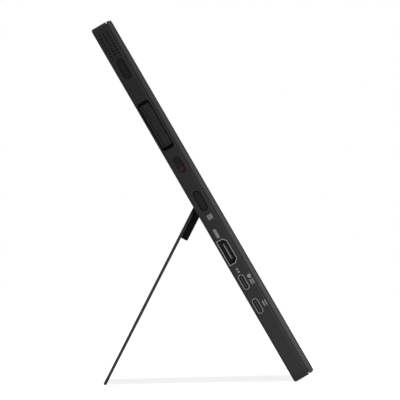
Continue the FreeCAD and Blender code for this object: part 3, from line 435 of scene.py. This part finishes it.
# Line mask = 1 on lines a pitch apart, where the fraction of place over pitch is below the line's share.
def lineMask(tree, place, pitch, share):
    fraction = maths(tree, "FRACT", maths(tree, "DIVIDE", place, pitch))
    return maths(tree, "LESS_THAN", fraction, share)


# The place along an axis = the dot product of the place and the axis.
def alongAxis(tree, axis):
    return dotProduct(tree, addNode(tree, "TexCoord").outputs["Object"], tuple(axis))


# The place across the body and up along it, as shader values.
def acrossAndUp(tree):
    return alongAxis(tree, rightAxis), maths(tree, "SUBTRACT", alongAxis(tree, upAxis), lowerEnd)


# Rim mask = 0 behind the start and 1 before the end, both measured back from the piece's front edge, with a
# smooth step between; the case is painted paler towards its front edges, a painted highlight where those
# edges catch light.
def rimHighlightFinish(name, look, node):
    material, tree, shader = solidFinish(name, look)
    front = (nodePoints(node) @ forward).max()
    rimHighlight = between(tree, alongAxis(tree, forward), front - look["rimStart"], front - look["rimEnd"])
    # painted highlight towards the front edge
    layOver(tree, shader, rimHighlight, look["rimHighlightColour"])
    return material


glassLook = {
    "colour": tone(9), "specular": 0.13, "roughness": (0.275, 0.275),
    "toneSize": 0.08, "toneSpread": 0.05,
    "grainSize": 0.00012, "pits": 0.2, "fleck": 0.1, "fleckColour": tone(17),
    "bump": 0.01, "bumpDepth": 0.000005,
    "activeColour": tone(22, 23, 26), "sideMargin": 3.2 * mm, "topMargin": 2.8 * mm,
    "bottomMargin": 8.9 * mm, "edgeColour": tone(43), "edgeRoughness": 0.38, "edgeFacing": (0.85, 0.4),
}


# Active mask = 1 inside the display cell less its margins; there the black print gives way to the
# slightly lighter, bluer switched-off panel. Edge mask = 1 where the surface no longer faces forward, on
# the ground edge of the pane, which is greyer and rougher.
def glassFinish():
    material, tree, shader = solidFinish("cover_glass_finish", glassLook)
    x, _, rise = bodyPlaces(nodePoints("lcd_cell"))
    across, upward = acrossAndUp(tree)
    middle, half = (x.max() + x.min()) / 2, (x.max() - x.min()) / 2 - glassLook["sideMargin"]
    low, high = rise.min() + glassLook["bottomMargin"], rise.max() - glassLook["topMargin"]
    offCentre = maths(tree, "ABSOLUTE", maths(tree, "SUBTRACT", across, middle))
    inside = maths(tree, "LESS_THAN", offCentre, half)
    above = maths(tree, "GREATER_THAN", upward, low)
    below = maths(tree, "LESS_THAN", upward, high)
    active = maths(tree, "MULTIPLY", inside, maths(tree, "MULTIPLY", above, below))
    layOver(tree, shader, active, glassLook["activeColour"])
    facing = dotProduct(tree, addNode(tree, "TexCoord").outputs["Normal"], tuple(forward))
    edge = between(tree, facing, *glassLook["edgeFacing"])
    layOver(tree, shader, edge, glassLook["edgeColour"])
    polish = shader.inputs["Roughness"].links[0].from_socket
    tree.links.new(mixValue(tree, edge, polish, glassLook["edgeRoughness"]), shader.inputs["Roughness"])
    return material


cellLook = {
    "colour": tone(24, 25, 28), "specular": 0.4, "roughness": (0.18, 0.24),
    "toneSize": 0.05, "toneSpread": 0.04,
    "grainSize": 0.00018, "fleck": 0.2, "fleckColour": tone(30, 32, 36),
    "bump": 0.05, "bumpDepth": 0.00001,
    "pixelPitch": 0.18 * mm, "gapShare": 0.16, "gapColour": tone(12),
}


# Pixel gaps = the union of two sets of thin lines a pixel apart, across and along the panel.
def cellFinish():
    material, tree, shader = solidFinish("display_cell_finish", cellLook)
    x, rise = acrossAndUp(tree)
    columns = lineMask(tree, x, cellLook["pixelPitch"], cellLook["gapShare"])
    rows = lineMask(tree, rise, cellLook["pixelPitch"], cellLook["gapShare"])
    layOver(tree, shader, maths(tree, "MAXIMUM", columns, rows), cellLook["gapColour"])
    return material


boardLook = {
    "colour": tone(18, 52, 40), "specular": 0.35, "roughness": (0.3, 0.4),
    "toneSize": 0.01, "toneSpread": 0.08,
    "grainSize": 0.0003, "fleck": 0.15, "fleckColour": tone(26, 66, 52),
    "wearAndHighlight": 0.4, "wearHighlightRadius": 0.0002, "wearHighlightColour": tone(150, 140, 96),
    "bump": 0.2, "bumpDepth": 0.00003,
    "fieldSize": 12 * mm, "fieldSplit": 0.5, "tracePitch": 0.9 * mm, "traceShare": 0.35,
    "traceColour": tone(34, 84, 62), "padCell": 3.5 * mm, "padRadius": 0.16, "padColour": tone(196, 168, 96),
}
darkBoardLook = {
    **boardLook, "colour": tone(62), "specular": 0.1, "roughness": (0.55, 0.65), "fleckColour": tone(66),
    "wearHighlightColour": tone(70), "traceColour": tone(67), "padColour": tone(72, 70, 66),
}


# Traces = lines a pitch apart, counted across the board in the light fields of a broad cell pattern and up
# it in the dark ones; pads = the places nearer to a cell's middle than the pad radius, in cells.
def boardFinish(name, look):
    material, tree, shader = solidFinish(name, look)
    x, rise = acrossAndUp(tree)
    place = objectPlace(tree, (look["fieldSize"],) * 3)
    fields = addNode(tree, "TexVoronoi", {"Vector": place, "Scale": 1.0}, distance="MANHATTAN")
    level = addNode(tree, "SeparateColor", {0: fields.outputs["Color"]}).outputs[0]
    light = maths(tree, "GREATER_THAN", level, look["fieldSplit"])
    first = lineMask(tree, x, look["tracePitch"], look["traceShare"])
    second = lineMask(tree, rise, look["tracePitch"], look["traceShare"])
    traces = maths(tree, "ADD", maths(tree, "MULTIPLY", first, light),
                   maths(tree, "MULTIPLY", second, maths(tree, "SUBTRACT", 1.0, light)))
    cells = objectPlace(tree, (look["padCell"],) * 3)
    fromMiddle = addNode(tree, "TexVoronoi", {"Vector": cells, "Scale": 1.0}).outputs[0]
    pads = maths(tree, "LESS_THAN", fromMiddle, look["padRadius"])
    layOver(tree, shader, traces, look["traceColour"])
    layOver(tree, shader, pads, look["padColour"])
    tree.links.new(pads, shader.inputs["Metallic"])
    return material


flexLook = {
    "colour": tone(168, 104, 36), "specular": 0.4, "roughness": (0.25, 0.35),
    "toneSize": 0.01, "toneSpread": 0.06,
    "grainSize": 0.0002, "fleck": 0.15, "fleckColour": tone(186, 120, 46),
    "bump": 0.1, "bumpDepth": 0.00002,
    "linePitch": 0.5 * mm, "lineShare": 0.5, "lineColour": tone(122, 66, 26),
}


# Conductors = slanted lines a pitch apart, counted along the sum of the place across and the rise.
def flexFinish():
    material, tree, shader = solidFinish("flex_finish", flexLook)
    x, rise = acrossAndUp(tree)
    lines = lineMask(tree, maths(tree, "ADD", x, rise), flexLook["linePitch"], flexLook["lineShare"])
    layOver(tree, shader, lines, flexLook["lineColour"])
    return material


# The record's material slots that need no mask of their own.
plainFinishes = {
    "film": filmLook, "steel": steelLook, "socket": socketLook, "insulator": insulatorLook,
    "component": componentLook, "lead": leadLook, "button": buttonLook, "red": redLook,
    "stand": standLook, "hinge_block": hingeBlockLook, "rubber": rubberLook,
}
finishes = {slot: solidFinish(slot + "_finish", look)[0] for slot, look in plainFinishes.items()}
finishes.update({
    "housing": rimHighlightFinish("housing_finish", housingLook, "rear_housing"),
    "bezel": rimHighlightFinish("bezel_finish", bezelLook, "front_bezel"),
    "cover_glass": glassFinish(),
    "display_glass": cellFinish(),
    "board": boardFinish("board_finish", boardLook),
    "flex": flexFinish(),
})

# Nodes with a finish of their own: the rocker key, the slider's knob, the dark pieces behind them, the video
# socket's tongue, and the blackened steel of the hinges and of the rocker's pin.
ownFinishes = {
    "rocker_key": solidFinish("key_finish", keyLook)[0],
    "rocker_bracket": solidFinish("bracket_finish", bracketLook)[0],
    "slide_knob": solidFinish("knob_finish", knobLook)[0],
    "control_board": boardFinish("dark_board_finish", darkBoardLook),
    "hdmi_tongue": solidFinish("video_tongue_finish", videoTongueLook)[0],
}
darkSteelFinish = solidFinish("dark_steel_finish", darkSteelLook)[0]
darkSteelNodes = ("hinge_ear", "hinge_pin", "hinge_lock", "hinge_screws", "friction", "stand_screws",
                  "rocker_pin")
ownFinishes.update({name: darkSteelFinish for name in nodes if name.startswith(darkSteelNodes)})
for name, node in nodes.items():
    slots = node.data.materials
    finish = ownFinishes.get(name, finishes[slots[0].name])
    slots.clear()
    slots.append(finish)
print("finishes:", len(finishes), "by slot,", len(ownFinishes), "nodes with their own")

# Small added pieces.

mergeDistance = 1e-7  # joins the points of a patch's two poles


# Patches of one shape: points is patches x rows x columns x 3, each patch closed round its columns and
# drawn to a point at its first and last row. The quads join each place to the next row and column.
def patchMesh(name, points, body, finish):
    count, rows, columns = points.shape[:3]
    index = np.arange(count * rows * columns).reshape(count, rows, columns)
    following = np.roll(index, -1, axis=2)
    quads = np.stack([index[:, :-1], following[:, :-1], following[:, 1:], index[:, 1:]], axis=-1)
    mesh = bpy.data.meshes.new(name)
    mesh.from_pydata(points.reshape(-1, 3), [], quads.reshape(-1, 4))
    work = bmesh.new()
    work.from_mesh(mesh)
    bmesh.ops.remove_doubles(work, verts=work.verts, dist=mergeDistance)
    bmesh.ops.recalc_face_normals(work, faces=work.faces)
    work.to_mesh(mesh)
    work.free()
    mesh.materials.append(finish)
    piece = bpy.data.objects.new(name, mesh)
    scene.collection.objects.link(piece)
    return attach(piece, body)


# Flat pads with a softened rim. Across and along follow a superellipse, (cos, sin) to the power 2/n, so n
# of 2 is round and a large n is square; the rows run from the middle of the top over the rim to the middle
# of the underside. centres is pads x 3, across, along and up are unit directions.
def padPoints(centres, across, along, up, halfWidth, halfLength, thickness, power, columns=24):
    turn = np.linspace(0, 2 * math.pi, columns, endpoint=False)
    outline = np.stack([np.cos(turn), np.sin(turn)])
    outline = np.sign(outline) * np.abs(outline) ** (2 / power)
    soft = min(thickness, halfWidth) / 2
    inset = np.array((0.0, 1.0, 1.0, 1.0, 0.0))
    trim = np.array((0.0, soft, 0.0, 0.0, 0.0))
    height = np.array((thickness, thickness, thickness - soft, 0.0, 0.0))
    wide = np.outer(inset * halfWidth - trim, outline[0])
    long = np.outer(inset * halfLength - trim, outline[1])
    shape = wide[..., None] * across + long[..., None] * along + height[:, None, None] * up
    return np.asarray(centres)[:, None, None, :] + shape


inkThickness = 0.02 * mm
inkFinish = solidFinish("ink_finish", inkLook)[0]


# Marks printed on the left side: (depth, rise) of the middle, width over the depth and length along the
# rise in millimetres, the superellipse power, how many dashes share the width or the length, and the inked
# share of a dash's pitch.
sideMarks = {
    "menu_mark": {"depth": 5.2, "rise": 100.5, "width": 2.8, "length": 2.9, "power": 8,
                  "across": 3, "along": 1, "share": 0.72},
    "video_mark": {"depth": 3.57, "rise": 90.9, "width": 1.6, "length": 5.15, "power": 8,
                   "across": 1, "along": 6, "share": 0.9},
    "data_mark": {"depth": 3.63, "rise": 67.85, "width": 1.15, "length": 2.7, "power": 8,
                  "across": 1, "along": 2, "share": 0.66},
    "round_mark": {"depth": 7.5, "rise": 62.3, "width": 2.15, "length": 2.3, "power": 2,
                   "across": 1, "along": 1, "share": 1.0},
    "square_mark": {"depth": 7.48, "rise": 59.05, "width": 1.85, "length": 3.05, "power": 8,
                    "across": 2, "along": 1, "share": 0.55},
    "lower_mark": {"depth": 7.53, "rise": 45.55, "width": 1.9, "length": 3.25, "power": 8,
                   "across": 2, "along": 1, "share": 0.45},
}


# Dashes side by side. Their pitch is the mark's size over the count less one plus the inked share, so the
# outer edges of the first and the last dash span the size.
def printMark(name, mark):
    steps = np.array([(i, j) for i in range(mark["across"]) for j in range(mark["along"])], float)
    counts = np.array((mark["across"], mark["along"]))
    sizes = np.array((mark["width"], mark["length"])) * mm
    shares = np.where(counts > 1, mark["share"], 1.0)
    pitch = sizes / (counts - 1 + shares)
    offsets = (steps - (counts - 1) / 2) * pitch
    centres = onBody(leftFace, mark["depth"] * mm + offsets[:, 0], mark["rise"] * mm + offsets[:, 1])
    points = padPoints(centres, forward, upAxis, outward, *(pitch * shares / 2), inkThickness, mark["power"])
    return patchMesh(name, points, "monitor", inkFinish)


for name, mark in sideMarks.items():
    printMark(name, mark)
print("marks:", len(sideMarks))

# Spring contacts on the two faces of each socket's tongue: how many on the front and the back, and their
# pitch, width, length and distance from the tongue's tip in millimetres.
socketContacts = {
    "hdmi_tongue": {"front": 10, "back": 9, "pitch": 0.95, "width": 0.42, "length": 5.5, "start": 1.0},
    "usb_upper_tongue": {"front": 12, "back": 12, "pitch": 0.5, "width": 0.24, "length": 3.2, "start": 0.8},
    "usb_lower_tongue": {"front": 12, "back": 12, "pitch": 0.5, "width": 0.24, "length": 3.2, "start": 0.8},
}
contactPad = {"thickness": 0.02 * mm, "power": 8, "columns": 16}
contactFinish = solidFinish("contact_finish", contactLook)[0]
tipSlice = 0.1 * mm  # of a tongue's length, from its free end, in which its section is read


# x, depth and rise of the points at a tongue's free end.
def tongueTip(node):
    points = nodePoints(node)
    return bodyPlaces(points[points[:, 0] < points[:, 0].min() + tipSlice])


# Contacts side by side along the rise, about the middle of the tongue's section, on both of its faces.
def tongueContacts(node, contact):
    x, depth, rise = tongueTip(node)
    middle = (rise.min() + rise.max()) / 2
    run = x.min() + (contact["start"] + contact["length"] / 2) * mm
    halfWidth, halfLength = contact["width"] / 2 * mm, contact["length"] / 2 * mm
    patches = []
    for side, level, up in (("front", depth.max(), forward), ("back", depth.min(), backAxis)):
        offsets = (np.arange(contact[side]) - (contact[side] - 1) / 2) * contact["pitch"] * mm
        centres = onBody(run, level, middle + offsets)
        patches.append(padPoints(centres, upAxis, rightAxis, up, halfWidth, halfLength, **contactPad))
    return patchMesh(node.replace("tongue", "contacts"), np.concatenate(patches), "monitor", contactFinish)


for node, contact in socketContacts.items():
    tongueContacts(node, contact)

# a pale strip painted as the highlight on the video tongue's edge
tongueHighlight = {"node": "hdmi_tongue", "width": 0.4 * mm, "inset": 0.12 * mm, "endRoom": 0.5 * mm,
             "thickness": 0.02 * mm, "power": 10}
tongueHighlightLook = {**insulatorLook, "colour": tone(112), "fleckColour": tone(98), "wearHighlightColour": tone(130)}


# A painted highlight across the end of the video socket's tongue, a pale strip standing in for the light
# that its edge catches: one pad, set in from its rear edge by the inset and shorter than its section by the
# room at both ends.
def makeTongueHighlight():
    x, depth, rise = tongueTip(tongueHighlight["node"])
    halfWidth = tongueHighlight["width"] / 2
    halfLength = (rise.max() - rise.min()) / 2 - tongueHighlight["endRoom"]
    place = onBody(x.min(), depth.min() + tongueHighlight["inset"] + halfWidth, (rise.min() + rise.max()) / 2)
    pads = padPoints(place[None], forward, upAxis, outward, halfWidth, halfLength,
                     tongueHighlight["thickness"], tongueHighlight["power"])
    return patchMesh("hdmi_tongue_painted_highlight", pads, "monitor", solidFinish("tongue_highlight_finish", tongueHighlightLook)[0])


makeTongueHighlight()
print("contacts:", sum(row["front"] + row["back"] for row in socketContacts.values()))

# Stage, light and camera.

studio = {
    "worldDiffuse": 0.4, "floorSize": 8.0, "floorTone": 0.66, "floorSeenTone": 0.42, "floorGlow": 0.87,
}


# 1 for rays from the camera, in gloss or through glass, and 0 for those that only light the part.
def seenBackground(tree):
    path = addNode(tree, "LightPath").outputs
    seen = maths(tree, "MAXIMUM", path["Is Camera Ray"], path["Is Glossy Ray"])
    return maths(tree, "MAXIMUM", seen, path["Is Transmission Ray"])


# White where it is seen, directly or in gloss and glass; a softer sky where it lights the part.
def makeWorld():
    scene.world = bpy.data.worlds.new("studio_sky")
    scene.world.use_nodes = True
    tree = scene.world.node_tree
    tree.nodes.clear()
    strength = between(tree, seenBackground(tree), 0.0, 1.0, studio["worldDiffuse"], 1.0)
    sky = addNode(tree, "Background", {"Color": (1, 1, 1, 1), "Strength": strength})
    tree.links.new(sky.outputs[0], addNode(tree, "OutputWorld").inputs[0])


# A pale floor that takes the shadow, with enough glow where it is seen to end as white as the sky.
def makeFloor():
    half = studio["floorSize"] / 2
    corners = [(-half, -half, 0), (half, -half, 0), (half, half, 0), (-half, half, 0)]
    mesh = bpy.data.meshes.new("floor")
    mesh.from_pydata(corners, [], [(0, 1, 2, 3)])
    floor = bpy.data.objects.new("floor", mesh)
    scene.collection.objects.link(floor)
    material = bpy.data.materials.new("floor_finish")
    material.use_nodes = True
    tree = material.node_tree
    tree.nodes.clear()
    seen = seenBackground(tree)
    shade = between(tree, seen, 0.0, 1.0, studio["floorTone"], studio["floorSeenTone"])
    pale = addNode(tree, "BsdfDiffuse", {"Color": shade})
    glow = addNode(tree, "Emission", {"Strength": maths(tree, "MULTIPLY", seen, studio["floorGlow"])})
    both = addNode(tree, "AddShader", {0: pale.outputs[0], 1: glow.outputs[0]})
    tree.links.new(both.outputs[0], addNode(tree, "OutputMaterial").inputs[0])
    mesh.materials.append(material)


# Places and sizes in metres, and a sun's angle in degrees.
lampAim = (0.0, 0.0, 0.1)  # where a lamp gives no aim of its own
lamps = {
    "sky_lamp": {"kind": "SUN", "from": (-0.5, -0.6, 1.0), "power": 1.15, "angle": 70},
    "front_box": {"kind": "AREA", "from": (-0.35, -0.75, 0.95), "power": 3.2, "size": (0.7, 0.45)},
    "rear_box": {"kind": "AREA", "from": (0.3, 0.9, 0.7), "power": 3.0, "size": (0.7, 0.45)},
    "low_side_box": {"kind": "AREA", "from": (-0.31, -0.06, 0.03), "power": 0.17, "size": (0.12, 0.12),
                     "aim": (-0.18, -0.04, 0.02), "gloss": False},
}


def makeLamp(name, lamp):
    light = bpy.data.lights.new(name, lamp["kind"])
    light.energy = lamp["power"]
    if lamp["kind"] == "SUN":
        light.angle = math.radians(lamp["angle"])
    else:
        light.shape = "RECTANGLE"
        light.size, light.size_y = lamp["size"]
    holder = bpy.data.objects.new(name, light)
    scene.collection.objects.link(holder)
    place, aim = Vector(lamp["from"]), Vector(lamp.get("aim", lampAim))
    holder.location = place
    holder.rotation_mode = "QUATERNION"
    holder.rotation_quaternion = (aim - place).to_track_quat("-Z", "Y")
    holder.visible_camera = False
    holder.visible_glossy = lamp.get("gloss", True)


# The photograph looks along the body's width. pixels is the picture's side, perMm its scale at the near
# side, roll its tilt in degrees, and clip the far limit in camera distances.
cameraView = {
    "lens": 1400.0, "sensor": 36.0, "pixels": 400, "perMm": 1.85, "clip": 4,
    "aimDepth": 5.1 * mm, "aimRise": 111.07 * mm, "roll": 1.256,
}


def makeCamera():
    data = bpy.data.cameras.new("photo_camera")
    data.lens, data.sensor_width = cameraView["lens"], cameraView["sensor"]
    pictureWidth = cameraView["pixels"] / cameraView["perMm"] * mm
    distance = cameraView["lens"] / cameraView["sensor"] * pictureWidth
    aim = Vector(onBody(leftFace, cameraView["aimDepth"], cameraView["aimRise"]))
    roll = math.radians(cameraView["roll"])
    right = Vector((0.0, -math.cos(roll), -math.sin(roll)))
    up = Vector((0.0, -math.sin(roll), math.cos(roll)))
    ahead = Vector((1.0, 0.0, 0.0))
    turn = Matrix((right, up, -ahead)).transposed()
    camera = bpy.data.objects.new("photo_camera", data)
    scene.collection.objects.link(camera)
    camera.matrix_world = Matrix.Translation(aim - ahead * distance) @ turn.to_4x4()
    data.clip_end = cameraView["clip"] * distance
    scene.camera = camera


makeWorld()
makeFloor()
for name, lamp in lamps.items():
    makeLamp(name, lamp)
makeCamera()
scene.view_settings.view_transform = "Standard"
print("stage: floor,", len(lamps), "lamps and camera")
